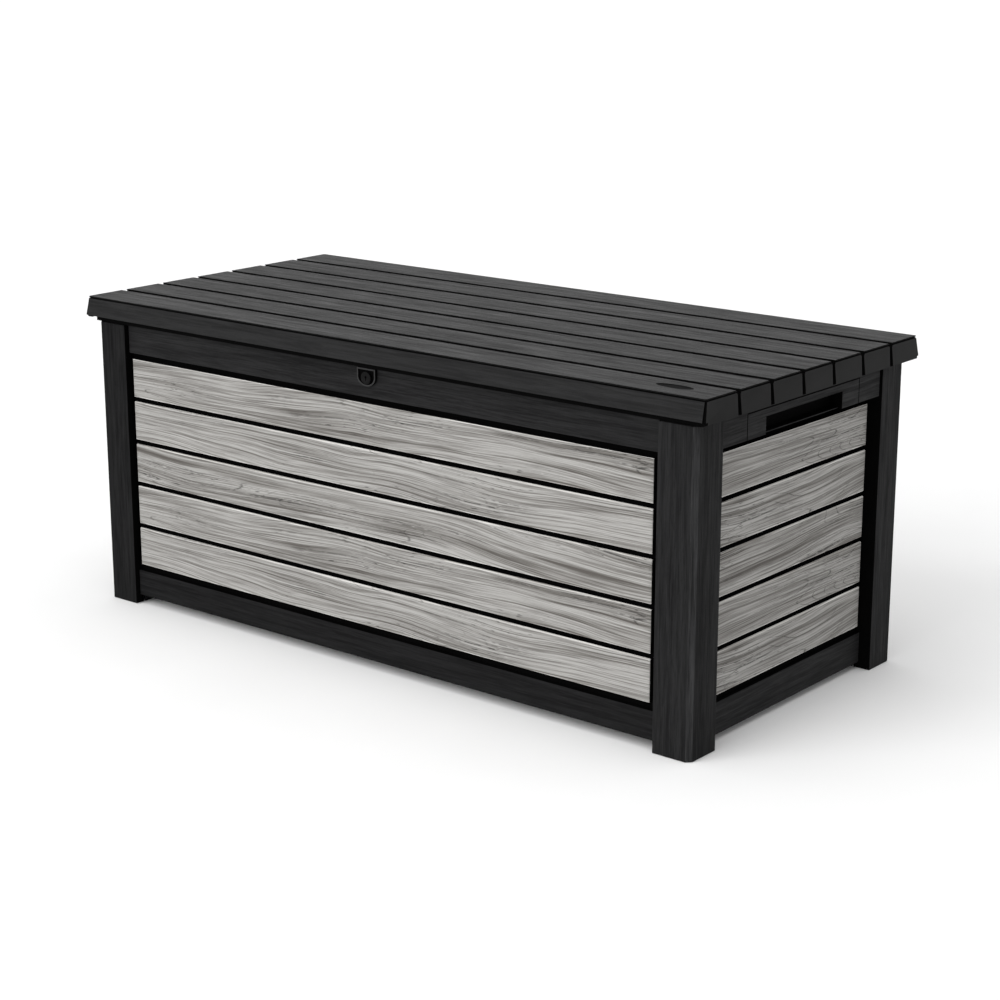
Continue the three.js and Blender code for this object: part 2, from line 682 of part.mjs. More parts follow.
// A stud for a strut's eye: a shaft with a head on the inside and a shoulder on the outside.
function stud(side, root, y, z) {
  return join([
    bar("x", STUD_R, ...towards(side, STRUT_X - 8, root), [y, z]),
    bar("x", 6.5, ...towards(side, STRUT_X - 11, STRUT_X - 5.5), [y, z]),
    bar("x", 7, ...towards(side, STRUT_X + 5.5, root), [y, z]),
  ]);
}

for (const [name, side] of [["left", -1], ["right", 1]]) {
  const postFace = POST_X - POST_SIZE - GAP;
  const footY = [STRUT_FOOT_Y - 13, STRUT_FOOT_Y + 13];
  const footZ = [STRUT_FOOT_Z - 22, STRUT_FOOT_Z + 22];
  const foot = join([
    box(towards(side, postFace - 3, postFace), footY, footZ),
    stud(side, postFace - 2, STRUT_FOOT_Y, STRUT_FOOT_Z),
  ]);
  addPart(`strut_foot_${name}`, foot, "hinge_steel");

  const headPlateZ = [LINER_PLATE_Z0 - GAP - 3, LINER_PLATE_Z0 - GAP];
  const head = join([
    box(towards(side, 634, 666), [STRUT_HEAD_Y - 18, STRUT_HEAD_Y + 18], headPlateZ),
    box(towards(side, 660, 664), [STRUT_HEAD_Y - 9, STRUT_HEAD_Y + 9], [600, headPlateZ[1]]),
    stud(side, 662, STRUT_HEAD_Y, STRUT_HEAD_Z),
  ]);
  addPart(`strut_head_${name}`, head, "hinge_steel");

  const strut = new THREE.Group();
  strut.position.set(side * STRUT_X, STRUT_FOOT_Y, STRUT_FOOT_Z);
  strut.rotation.x = STRUT_LEAN;
  group.add(strut);
  addPart(`strut_tube_${name}`, strutTube(), "strut_body", strut);
  addPart(`strut_rod_${name}`, strutRod(), "strut_rod", strut);
}

export default group;
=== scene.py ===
import json
import math

import bmesh
import bpy
from mathutils import Matrix, Vector, noise


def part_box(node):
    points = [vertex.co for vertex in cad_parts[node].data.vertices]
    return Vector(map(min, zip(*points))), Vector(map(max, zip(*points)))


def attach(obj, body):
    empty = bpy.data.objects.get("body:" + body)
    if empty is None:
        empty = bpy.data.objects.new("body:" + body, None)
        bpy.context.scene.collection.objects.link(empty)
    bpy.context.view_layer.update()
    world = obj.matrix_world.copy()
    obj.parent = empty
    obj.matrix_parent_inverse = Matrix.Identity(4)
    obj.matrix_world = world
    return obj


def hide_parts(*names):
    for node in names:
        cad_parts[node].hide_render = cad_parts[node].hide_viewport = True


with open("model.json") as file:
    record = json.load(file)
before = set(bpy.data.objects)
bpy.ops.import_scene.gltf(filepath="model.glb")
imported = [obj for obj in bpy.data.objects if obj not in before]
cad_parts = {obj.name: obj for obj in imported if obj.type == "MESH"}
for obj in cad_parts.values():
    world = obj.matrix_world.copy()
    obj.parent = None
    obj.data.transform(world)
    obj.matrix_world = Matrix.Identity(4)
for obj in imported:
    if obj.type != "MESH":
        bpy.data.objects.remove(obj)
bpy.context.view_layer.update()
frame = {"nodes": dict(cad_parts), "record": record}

MM = 0.001

# ---------------------------------------------------------------- shader graphs


class Graph:
    """A Principled material and short names for the nodes that feed it."""

    def __init__(self, name):
        self.material = bpy.data.materials.new(name)
        self.material.use_nodes = True
        self.tree = self.material.node_tree
        self.tree.nodes.clear()
        self.shader = self.tree.nodes.new("ShaderNodeBsdfPrincipled")
        output = self.tree.nodes.new("ShaderNodeOutputMaterial")
        self.tree.links.new(self.shader.outputs[0], output.inputs["Surface"])
        self.coords = self.tree.nodes.new("ShaderNodeTexCoord")

    def put(self, socket, value):
        if isinstance(value, bpy.types.NodeSocket):
            self.tree.links.new(value, socket)
        else:
            socket.default_value = value

    def node(self, kind, inputs, **settings):
        made = self.tree.nodes.new(kind)
        for key, value in settings.items():
            setattr(made, key, value)
        for key, value in inputs.items():
            self.put(made.inputs[key], value)
        return made

    def math(self, operation, a, b=0.5, c=0.5):
        return self.node("ShaderNodeMath", {0: a, 1: b, 2: c}, operation=operation).outputs[0]

    def scaled(self, vector, scale, shift=(0, 0, 0)):
        inputs = {"Vector": vector, "Scale": scale, "Location": shift}
        return self.node("ShaderNodeMapping", inputs).outputs[0]

    def noise(self, vector, scale=1.0, detail=3.0, roughness=0.55, distortion=0.0):
        inputs = {
            "Vector": vector,
            "Scale": scale,
            "Detail": detail,
            "Roughness": roughness,
            "Distortion": distortion,
        }
        return self.node("ShaderNodeTexNoise", inputs).outputs[0]

    def spread(self, value, low, high, to_low=0.0, to_high=1.0):
        inputs = {"Value": value, "From Min": low, "From Max": high, "To Min": to_low, "To Max": to_high}
        return self.node("ShaderNodeMapRange", inputs, clamp=True).outputs[0]

    def ramp(self, factor, stops):
        made = self.node("ShaderNodeValToRGB", {0: factor})
        elements = made.color_ramp.elements
        while len(elements) < len(stops):
            elements.new(0.5)
        for element, (position, colour) in zip(elements, stops):
            element.position = position
            element.color = (*colour, 1.0)
        return made.outputs[0]

    def mix(self, factor, a, b, blend="MIX"):
        made = self.node("ShaderNodeMix", {}, data_type="RGBA", blend_type=blend)
        self.put(made.inputs[0], factor)
        self.put(made.inputs[6], a)
        self.put(made.inputs[7], b)
        return made.outputs[2]

    def bump(self, height, strength, distance, below=None):
        inputs = {"Height": height, "Strength": strength, "Distance": distance}
        if below is not None:
            inputs["Normal"] = below
        return self.node("ShaderNodeBump", inputs).outputs[0]

    def edge(self, low=0.52, high=0.62):
        pointy = self.node("ShaderNodeNewGeometry", {}).outputs["Pointiness"]
        return self.spread(pointy, low, high)

    def finish(self, colour, roughness, normal=None, **plain):
        self.put(self.shader.inputs["Base Color"], colour)
        self.put(self.shader.inputs["Roughness"], roughness)
        if normal is not None:
            self.put(self.shader.inputs["Normal"], normal)
        for key, value in plain.items():
            self.put(self.shader.inputs[key.replace("_", " ")], value)
        return self.material


EDGE_LIFT = 2.2  # how much brighter a worn edge is than the resin's light colour
METAL_EDGE_LIFT = 2.4


def lifted(colour, times):
    """A brighter colour, with alpha."""
    return tuple(min(1, c * times) for c in colour) + (1,)


def stretched(along, length, across):
    """Texture scales that draw grain out along one axis."""
    return tuple(length if axis == along else across for axis in "xyz")


def grained_resin(name, along, dark, light, roughness, relief, specular):
    """Moulded resin with a fine wood grain along one axis."""
    g = Graph(name)
    place = g.coords.outputs["Object"]
    drift = g.noise(g.scaled(place, stretched(along, 1.1, 9)), detail=2)
    drift = g.node("ShaderNodeVectorMath", {0: drift, 1: (0.02,) * 3}, operation="MULTIPLY").outputs[0]
    warped = g.node("ShaderNodeVectorMath", {0: place, 1: drift}, operation="ADD").outputs[0]
    fibre = g.noise(g.scaled(warped, stretched(along, 14, 380)), detail=4, roughness=0.7)
    streak = g.noise(g.scaled(warped, stretched(along, 5, 110)), detail=4, roughness=0.65)
    pores = g.noise(g.scaled(warped, stretched(along, 45, 600)), detail=2)
    mottle = g.noise(g.scaled(place, (9, 9, 9)), detail=3)
    grain = g.math("MULTIPLY_ADD", streak, 0.5, g.math("MULTIPLY", fibre, 0.5))
    body = g.spread(grain, 0.41, 0.59)
    colour = g.mix(body, (*dark, 1), (*light, 1))
    colour = g.mix(g.spread(mottle, 0.35, 0.7, 0.0, 0.2), colour, (*light, 1))
    colour = g.mix(g.spread(pores, 0.30, 0.42, 0.6, 0.0), colour, (*dark, 1))
    colour = g.mix(g.math("MULTIPLY", g.edge(), 0.3), colour, lifted(light, EDGE_LIFT))
    height = g.math("ADD", g.math("MULTIPLY", fibre, 0.8), g.math("MULTIPLY", streak, 0.8))
    height = g.math("ADD", height, g.spread(pores, 0.28, 0.42, -0.35, 0.0))
    rough = g.spread(grain, 0.38, 0.62, roughness + 0.14, roughness - 0.08)
    return g.finish(colour, rough, g.bump(height, 0.8, relief), Specular_IOR_Level=specular)


def pebbled_resin(name, dark, light, roughness, specular=0.3):
    """Plain moulded resin with a fine pebble texture."""
    g = Graph(name)
    place = g.coords.outputs["Object"]
    pebble = g.noise(place, scale=700, detail=2)
    cloud = g.noise(place, scale=9, detail=4)
    colour = g.mix(g.spread(cloud, 0.35, 0.65), (*dark, 1), (*light, 1))
    colour = g.mix(g.math("MULTIPLY", g.edge(), 0.35), colour, lifted(light, EDGE_LIFT))
    rough = g.spread(cloud, 0.3, 0.7, roughness - 0.06, roughness + 0.06)
    return g.finish(colour, rough, g.bump(pebble, 0.35, 0.0002), Specular_IOR_Level=specular)


def weathered_plank(name, brightness):
    """Grey wood-look resin. The UV map is in metres: u along the plank, v across it."""
    g = Graph(name)
    place = g.coords.outputs["UV"]
    sway = g.noise(g.scaled(place, (1.25, 4.2, 1)), detail=2, roughness=0.42)
    wander = g.noise(g.scaled(place, (9, 34, 1), (3.1, 0.7, 0)), detail=2)
    shift = g.math("MULTIPLY_ADD", sway, 0.10, g.math("MULTIPLY", wander, 0.003))
    shifted = g.node("ShaderNodeCombineXYZ", {"X": 0.0, "Y": shift, "Z": 0.0}).outputs[0]
    flow = g.node("ShaderNodeVectorMath", {0: place, 1: shifted}, operation="ADD").outputs[0]

    tone = g.noise(g.scaled(flow, (1.1, 34, 1)), detail=4, roughness=0.6)
    streak = g.noise(g.scaled(flow, (1.9, 185, 1), (1.7, 4.2, 0)), detail=5, roughness=0.68)
    fibre = g.noise(g.scaled(flow, (7, 480, 1)), detail=4, roughness=0.7)
    lines = g.noise(g.scaled(flow, (2.6, 230, 1), (8.3, 2.2, 0)), detail=3, roughness=0.55)
    where = g.noise(g.scaled(place, (2.6, 16, 1), (5.5, 1.1, 0)), detail=2)
    broken = g.noise(g.scaled(place, (55, 160, 1)), detail=2)
    nicks = g.noise(g.scaled(flow, (34, 330, 1), (2.9, 7.7, 0)), detail=2)
    threads = g.noise(g.scaled(flow, (3.0, 330, 1), (6.1, 3.3, 0)), detail=3, roughness=0.6)

    # Arched figure: contour lines of a slow field, seen only in patches.
    field = g.noise(g.scaled(flow, (2.1, 13, 1), (2.2, 9.4, 0)), detail=1, roughness=0.4)
    contour = g.math("ABSOLUTE", g.math("SINE", g.math("MULTIPLY", field, 58.0)))
    arch = g.spread(contour, 0.0, 0.20, 1.0, 0.0)
    patch = g.spread(g.noise(g.scaled(place, (1.7, 9, 1), (4.4, 6.1, 0)), detail=1), 0.52, 0.63)
    arch = g.math("MULTIPLY", arch, g.math("MULTIPLY", patch, g.spread(broken, 0.38, 0.52)))

    crack = g.spread(lines, 0.56, 0.64)
    crack = g.math("MULTIPLY", crack, g.spread(where, 0.46, 0.60))
    crack = g.math("MULTIPLY", crack, g.spread(broken, 0.34, 0.50))
    nick = g.math("MULTIPLY", g.spread(nicks, 0.62, 0.69), g.spread(where, 0.48, 0.60))

    pale = tuple(c * brightness for c in (0.352, 0.346, 0.332))
    mid = tuple(c * brightness for c in (0.226, 0.219, 0.207))
    brown = tuple(c * brightness for c in (0.088, 0.081, 0.074))
    black = tuple(c * brightness for c in (0.030, 0.028, 0.026))
    body = g.math("MULTIPLY_ADD", tone, 0.40, g.math("MULTIPLY", streak, 0.60))
    colour = g.ramp(body, [(0.40, brown), (0.46, mid), (0.53, pale)])
    colour = g.mix(g.spread(fibre, 0.34, 0.52, 0.62, 0.0), colour, (*brown, 1))
    colour = g.mix(g.spread(threads, 0.36, 0.48, 0.70, 0.0), colour, (*brown, 1))
    colour = g.mix(g.math("MULTIPLY", arch, 0.75), colour, (*black, 1))
    colour = g.mix(g.math("MULTIPLY", crack, 0.85), colour, (*black, 1))
    colour = g.mix(g.math("MULTIPLY", nick, 0.9), colour, (*black, 1))
    # Painted highlight: sharp edges turn lighter.
    colour = g.mix(g.math("MULTIPLY", g.edge(0.53, 0.60), 0.6), colour, (0.50, 0.49, 0.47, 1))

    height = g.math("ADD", g.math("MULTIPLY", fibre, 0.5), g.math("MULTIPLY", streak, 0.9))
    height = g.math("SUBTRACT", height, g.math("MULTIPLY", crack, 0.8))
    height = g.math("SUBTRACT", height, g.math("MULTIPLY", arch, 0.4))
    rough = g.spread(streak, 0.3, 0.7, 0.80, 0.66)
    return g.finish(colour, rough, g.bump(height, 0.7, 0.0006), Specular_IOR_Level=0.12)


def worked_metal(name, dark, light, roughness, metallic, scratch):
    """Metal or paint on metal, with faint brushing and rubbed edges."""
    g = Graph(name)
    place = g.coords.outputs["Object"]
    brushing = g.noise(g.scaled(place, scratch), detail=3, roughness=0.7)
    cloud = g.noise(place, scale=26, detail=4)
    colour = g.mix(g.spread(cloud, 0.35, 0.65), (*dark, 1), (*light, 1))
    colour = g.mix(g.math("MULTIPLY", g.edge(0.53, 0.65), 0.6), colour, lifted(light, METAL_EDGE_LIFT))
    wear = g.math("MULTIPLY_ADD", brushing, 0.6, g.math("MULTIPLY", cloud, 0.4))
    rough = g.spread(wear, 0.3, 0.7, roughness - 0.07, roughness + 0.1)
    return g.finish(colour, rough, g.bump(brushing, 0.25, 0.00008), Metallic=metallic)


DARK_LID = (0.0030, 0.0030, 0.0031)
LIGHT_LID = (0.0120, 0.0120, 0.0123)
DARK_FRAME = (0.0032, 0.0032, 0.0034)
LIGHT_FRAME = (0.0134, 0.0134, 0.0138)
# A darker copy of the frame colours: on the front-left post it is painted shade, and the long walls' bottom
# rails take it too.
DEEP_FRAME = (0.0022, 0.0022, 0.0023)
DEEP_FRAME_LIGHT = (0.0096, 0.0096, 0.0099)

LOOK = {
    "lid": grained_resin("lid_resin", "x", DARK_LID, LIGHT_LID, 0.42, 0.00050, 0.08),
    "lid_end": pebbled_resin("lid_end_resin", (0.0065,) * 3, (0.0145,) * 3, 0.6, 0.07),
    "post": grained_resin("post_resin", "z", DARK_FRAME, LIGHT_FRAME, 0.62, 0.00034, 0.07),
    # The front-left post's darker copy: painted shade.
    "post_painted_shade": grained_resin("post_resin_painted_shade", "z", DEEP_FRAME, DEEP_FRAME_LIGHT, 0.66, 0.00034, 0.05),
    # The posts' chamfers take a lighter copy of the post colours: painted highlight.
    "post_painted_highlight": grained_resin("post_painted_highlight_resin", "z", DARK_FRAME, (0.030, 0.030, 0.031), 0.5, 0.00034, 0.1),
    "rail_x": grained_resin("rail_resin_long", "x", DARK_FRAME, LIGHT_FRAME, 0.62, 0.00034, 0.07),
    "rail_low": grained_resin("rail_resin_low", "x", DEEP_FRAME, DEEP_FRAME_LIGHT, 0.66, 0.00034, 0.05),
    "rail_y": grained_resin("rail_resin_end", "y", DARK_FRAME, LIGHT_FRAME, 0.62, 0.00034, 0.09),
    # recess is near-black painted shade, put on faces in grooves, gaps, seams and recesses.
    "recess": pebbled_resin("painted_shade_resin", (0.0008,) * 3, (0.0018,) * 3, 0.9, 0.03),
    "floor": pebbled_resin("floor_resin", (0.008,) * 3, (0.018,) * 3, 0.6),
    "liner": pebbled_resin("liner_resin", (0.008,) * 3, (0.018,) * 3, 0.62),
    "plate": pebbled_resin("plate_resin", (0.004,) * 3, (0.009,) * 3, 0.85, 0.04),
    "trim": pebbled_resin("dark_trim", (0.014,) * 3, (0.024,) * 3, 0.5, 0.15),
    "plank_long": weathered_plank("plank_long_walls", 1.0),
    # The end walls' planks are a slightly darker copy of the long walls': painted shade.
    "plank_end": weathered_plank("plank_end_walls", 0.97),
    # Lighter copies for the planks' roundings: painted highlight.
    "plank_long_rim": weathered_plank("plank_long_painted_highlights", 1.75),
    "plank_end_rim": weathered_plank("plank_end_painted_highlights", 1.9),
    "barrel": pebbled_resin("lock_black", (0.0015,) * 3, (0.0045,) * 3, 0.5, 0.06),
    "lock": worked_metal("lock_zinc", (0.10, 0.10, 0.105), (0.20, 0.20, 0.205), 0.36, 1.0, (300, 300, 30)),
    "hinge": worked_metal("black_powder_coat", (0.009,) * 3, (0.020,) * 3, 0.46, 0.0, (260, 260, 260)),
    "tube": worked_metal("strut_enamel", (0.006,) * 3, (0.012,) * 3, 0.28, 0.0, (400, 30, 30)),
    "rod": worked_metal("strut_chrome", (0.60, 0.61, 0.62), (0.72, 0.73, 0.74), 0.14, 1.0, (900, 60, 60)),
    "screw": worked_metal("screw_steel", (0.22, 0.22, 0.23), (0.34, 0.34, 0.35), 0.34, 1.0, (500, 500, 500)),
}

# ---------------------------------------------------------------- mesh helpers


def add_piece(name, mesh, looks, body, replaced=()):
    """looks names one look, or a tuple of them in the order of the faces' material numbers."""
    for look in (looks,) if isinstance(looks, str) else looks:
        mesh.materials.append(LOOK[look])
    piece = bpy.data.objects.new(name, mesh)
    bpy.context.scene.collection.objects.link(piece)
    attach(piece, body)
    if replaced:
        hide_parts(*replaced)
    return piece


def to_mesh(bm, name, smooth_angle=40, flat=()):
    """Ends a bmesh. Faces in flat keep one normal, so their edges' curves don't tint them."""
    bmesh.ops.recalc_face_normals(bm, faces=bm.faces)
    for edge in bm.edges:
        edge.smooth = not (edge.is_manifold and edge.calc_face_angle() > math.radians(smooth_angle))
    for face in bm.faces:
        face.smooth = face not in flat
    mesh = bpy.data.meshes.new(name)
    bm.to_mesh(mesh)
    bm.free()
    return mesh


BEVEL_SEGMENTS = 2
BEVEL_ANGLE = math.radians(32)  # edges that turn by more than this are rounded
WELD_DISTANCE = 2e-5  # metres
FLAT_ANGLE = math.radians(1.5)  # faces that differ by less than this become one
WIDE_FACE = 1.5e-4  # square metres; larger flat faces are shaded flat
SAME_PLANE = 0.9999  # least cosine between the normals of faces in one plane


def bevel_sharp(bm, width):
    """Rounds the sharp edges and returns the faces of the rounding."""
    edges = [e for e in bm.edges if e.is_manifold and e.calc_face_angle() > BEVEL_ANGLE]
    made = bmesh.ops.bevel(bm, geom=edges, offset=width, segments=BEVEL_SEGMENTS, profile=0.5,
                           affect="EDGES", clamp_overlap=True)
    return set(made["faces"])


def flat_regions(bm, rounded):
    """Lists of touching faces in one plane, each with a face of more than four corners in it."""
    bm.normal_update()
    regions, seen = [], set(rounded)
    for start in bm.faces:
        if start in seen or len(start.verts) <= 4:
            continue
        seen.add(start)
        region = [start]
        for face in region:  # the list grows while it is read
            for beside in [f for e in face.edges for f in e.link_faces]:
                if beside not in seen and beside.normal.dot(start.normal) > SAME_PLANE:
                    seen.add(beside)
                    region.append(beside)
        regions.append(region)
    return regions


def refill_flats(bm, rounded):
    """Fills flat regions again from their outlines, and returns the new faces.

    A bevel leaves some large concave faces that Blender fills wrongly. Lists and dicts keep
    the work in one order, so that every run makes the same shape.
    """
    fresh = set()
    for region in flat_regions(bm, rounded):
        inside = set(region)
        edges = dict.fromkeys(e for f in region for e in f.edges)
        outline = [e for e in edges if sum(f in inside for f in e.link_faces) == 1]
        inner = [e for e in edges if all(f in inside for f in e.link_faces)]
        normal = region[0].normal.copy()
        bmesh.ops.delete(bm, geom=region, context="FACES_ONLY")
        bmesh.ops.delete(bm, geom=inner, context="EDGES")
        made = bmesh.ops.triangle_fill(bm, edges=outline, use_beauty=True, normal=normal)
        fresh.update(g for g in made["geom"] if isinstance(g, bmesh.types.BMFace))
    bmesh.ops.delete(bm, geom=[v for v in bm.verts if not v.link_edges], context="VERTS")
    return fresh


def cut_at(bm, planes):
    """Adds edges where the mesh crosses each (axis, millimetres) plane."""
    for axis, place in planes:
        point = Vector([place * MM if a == axis else 0.0 for a in range(3)])
        direction = Vector([1.0 if a == axis else 0.0 for a in range(3)])
        geometry = bm.verts[:] + bm.edges[:] + bm.faces[:]
        bmesh.ops.bisect_plane(bm, geom=geometry, plane_co=point, plane_no=direction, dist=1e-6)


def node_body(node):
    return next(b for b, members in frame["record"]["behaviour"]["bodies"].items() if node in members)


def finished_solid(node, looks, bevel, pick=None, cuts=(), refill=False):
    """The CAD solid with clean faces and softened edges. pick gives each face's place in looks.

    refill is for the solids with large concave faces. It isn't for the lid shell, where it
    leaves open edges.
    """
    bm = bmesh.new()
    bm.from_mesh(frame["nodes"][node].data)
    bmesh.ops.remove_doubles(bm, verts=bm.verts, dist=WELD_DISTANCE)
    bmesh.ops.dissolve_limit(bm, angle_limit=FLAT_ANGLE, verts=bm.verts, edges=bm.edges)
    rounded = bevel_sharp(bm, bevel * MM)
    filled = refill_flats(bm, rounded) if refill else set()
    if pick is not None:
        cut_at(bm, cuts)
        bm.normal_update()
        for face in bm.faces:
            face.material_index = int(pick(face.calc_center_median() / MM, face.normal))
    flat = {f for f in bm.faces if f not in rounded and (f in filled or f.calc_area() > WIDE_FACE)}
    mesh = to_mesh(bm, node, flat=flat)
    return add_piece(node + ".finished", mesh, looks, node_body(node), [node])


def cells(breaks, is_solid):
    """A closed quad mesh round the solid cells of a grid. breaks are in millimetres."""
    bm = bmesh.new()
    found = {}
    counts = [len(b) - 1 for b in breaks]

    def corner(index):
        if index not in found:
            found[index] = bm.verts.new([breaks[a][index[a]] * MM for a in range(3)])
        return found[index]

    def filled(cell):
        if any(not 0 <= cell[a] < counts[a] for a in range(3)):
            return False
        return is_solid(*[(breaks[a][cell[a]] + breaks[a][cell[a] + 1]) / 2 for a in range(3)])

    for i in range(counts[0]):
        for j in range(counts[1]):
            for k in range(counts[2]):
                cell = (i, j, k)
                if not filled(cell):
                    continue
                for axis in range(3):
                    for step in (0, 1):
                        beside = list(cell)
                        beside[axis] += 1 if step else -1
                        if filled(tuple(beside)):
                            continue
                        u, v = (axis + 1) % 3, (axis + 2) % 3
                        ring = []
                        for du, dv in ((0, 0), (1, 0), (1, 1), (0, 1)):
                            index = list(cell)
                            index[axis] += step
                            index[u] += du
                            index[v] += dv
                            ring.append(corner(tuple(index)))
                        bm.faces.new(ring if step else ring[::-1])
    return bm


def lathe(profile, sides=40):
    """A closed solid of revolution round Z from (radius, height) pairs in millimetres."""
    bm = bmesh.new()
    rings = []
    for radius, height in profile:
        if radius < 1e-6:
            rings.append([bm.verts.new((0, 0, height * MM))])
        else:
            rings.append([
                bm.verts.new((radius * MM * math.cos(t), radius * MM * math.sin(t), height * MM))
                for t in (2 * math.pi * n / sides for n in range(sides))
            ])
    for low, high in zip(rings, rings[1:]):
        for n in range(sides):
            m = (n + 1) % sides
            if len(low) == 1:
                bm.faces.new((low[0], high[m], high[n]))
            elif len(high) == 1:
                bm.faces.new((low[n], low[m], high[0]))
            else:
                bm.faces.new((low[n], low[m], high[m], high[n]))
    bmesh.ops.remove_doubles(bm, verts=bm.verts, dist=1e-7)
    return bm


def merged(target, source, matrix):
    """Adds source's mesh to target, moved by matrix."""
    source.transform(matrix)
    spare = bpy.data.meshes.new("spare")
    source.to_mesh(spare)
    source.free()
    target.from_mesh(spare)
    bpy.data.meshes.remove(spare)


# ---------------------------------------------------------------- planks

PLANK_HEIGHT = 82.0
PLANK_FILLET = 2.6
PLANK_WALL = 3.5  # round the hollow in the back
PLANK_STEP = 7.0
RELIEF = 0.5
END_ROUNDING = [(0.0, 1.3), (0.5, 0.4), (1.5, 0.0)]  # distance from a plank's end, and how far it draws in
FACE_ROWS = 27


def relief(u, v, seed):
    """Depth of the moulded grain in millimetres, never above the face."""
    bend = 0.012 * noise.noise(Vector((u * 1.7, v * 8, seed)))
    ridges = noise.noise(Vector((u * 2.6, (v + bend) * 150, seed + 7.3)))
    gouge = noise.noise(Vector((u * 3.4, (v + bend) * 75, seed + 19.1)))
    return RELIEF * (0.45 * (0.5 + 0.5 * ridges) + 0.55 * max(0.0, gouge - 0.15))


def plank_section(depth):
    """Outward distance and height round a plank, and how much relief each point takes."""
    r = PLANK_FILLET
    points = [(0.0, 0.0, 0.0), (depth - r, 0.0, 0.0)]
    for n in (1, 2):
        t = math.pi / 2 * n / 3
        points.append((depth - r + r * math.sin(t), r - r * math.cos(t), 0.15 * n))
    for n in range(FACE_ROWS):
        points.append((depth, r + (PLANK_HEIGHT - 2 * r) * n / (FACE_ROWS - 1), 1.0))
    for n in (2, 1):
        t = math.pi / 2 * n / 3
        points.append((depth - r + r * math.sin(t), PLANK_HEIGHT - r + r * math.cos(t), 0.15 * n))
    return points + [(depth - r, PLANK_HEIGHT, 0.0), (0.0, PLANK_HEIGHT, 0.0)]


def plank(node, along, outward, look, pattern, slide, is_top):
    low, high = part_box(node)
    centre = (low + high) / 2
    size = high - low
    half = abs(size.dot(along)) / 2 / MM
    depth = abs(size.dot(outward)) / MM
    back = centre - outward * depth / 2 * MM
    section = plank_section(depth)
    steps = int(2 * half / PLANK_STEP)
    start = -half + END_ROUNDING[-1][0]
    stations = [(-half + distance, inset) for distance, inset in END_ROUNDING]
    stations += [(start - 2 * start * n / steps, 0.0) for n in range(1, steps)]
    stations += [(half - distance, inset) for distance, inset in reversed(END_ROUNDING)]

    bm = bmesh.new()
    uv = bm.loops.layers.uv.new("grain")
    rings, place = [], {}
    for u, inset in stations:
        ring = []
        for out, height, share in section:
            rounded = inset if out > 0.5 * depth else 0.0
            z = min(max(height, inset), PLANK_HEIGHT - inset)
            sunk = share * relief(u * MM + slide, height * MM, pattern * 31.7) if inset == 0 else 0.0
            point = back + along * u * MM + outward * (out - rounded - sunk) * MM
            vert = bm.verts.new((point.x, point.y, low.z + z * MM))
            place[vert] = (u * MM + slide, (height + (depth - out)) * MM + pattern * 3.0)
            ring.append(vert)
        rings.append(ring)
    last = len(section) - 1
    # The sides, ends and hollow take material 1, the near-black painted shade, and so does the upper
    # rounding of a wall's top plank; the other roundings take material 2, a painted highlight.
    sides, rims = [0, 1, 2, last - 1, last], [3, last - 4, last - 3, last - 2]
    if is_top:
        sides += rims[-2:]
    for first, second in zip(rings, rings[1:]):
        for n in range(last):
            face = bm.faces.new((first[n], second[n], second[n + 1], first[n + 1]))
            face.material_index = 1 if n in sides else 2 if n in rims else 0

    def hollow_corner(u, out, height):
        point = back + along * u * MM + outward * out * MM
        vert = bm.verts.new((point.x, point.y, low.z + height * MM))
        place[vert] = (u * MM + slide, height * MM + pattern * 3.0)
        return vert

    span, top = half - PLANK_WALL, PLANK_HEIGHT - PLANK_WALL
    corners = ((-span, PLANK_WALL), (span, PLANK_WALL), (span, top), (-span, top))
    mouth = [hollow_corner(u, 0.0, height) for u, height in corners]
    bed = [hollow_corner(u, depth - PLANK_WALL, height) for u, height in corners]
    closing = [
        rings[0],
        rings[-1][::-1],
        [ring[0] for ring in rings] + [mouth[1], mouth[0]],
        [rings[-1][0], rings[-1][last], mouth[2], mouth[1]],
        [ring[last] for ring in rings[::-1]] + [mouth[3], mouth[2]],
        [rings[0][last], rings[0][0], mouth[0], mouth[3]],
        bed,
    ]
    closing += [[mouth[n], mouth[(n + 1) % 4], bed[(n + 1) % 4], bed[n]] for n in range(4)]
    for outline in closing:
        bm.faces.new(outline).material_index = 1
    for face in bm.faces:
        for loop in face.loops:
            loop[uv].uv = place[loop.vert]
    mesh = to_mesh(bm, node, 50)
    looks = (look, "recess", look + "_rim")
    add_piece(node + ".grained", mesh, looks, "box", [node])


X, Y, Z = Vector((1, 0, 0)), Vector((0, 1, 0)), Vector((0, 0, 1))
WALLS = [
    ("front", X, -Y, "plank_long", 0.0),
    ("right", Y, X, "plank_end", 4.1),
    ("back", -X, Y, "plank_long", 9.3),
    ("left", -Y, -X, "plank_end", 13.7),
]
PATTERN_OF_ROW = {5: 0, 4: 1, 3: 2, 2: 0, 1: 1}  # moulded patterns repeat down each wall
for wall, along, outward, look, slide in WALLS:
    for row, pattern in PATTERN_OF_ROW.items():
        plank(f"{wall}_plank_{row}", along, outward, look, pattern, slide, row == 5)

# ---------------------------------------------------------------- lid, posts, panels, grips, floor and liner

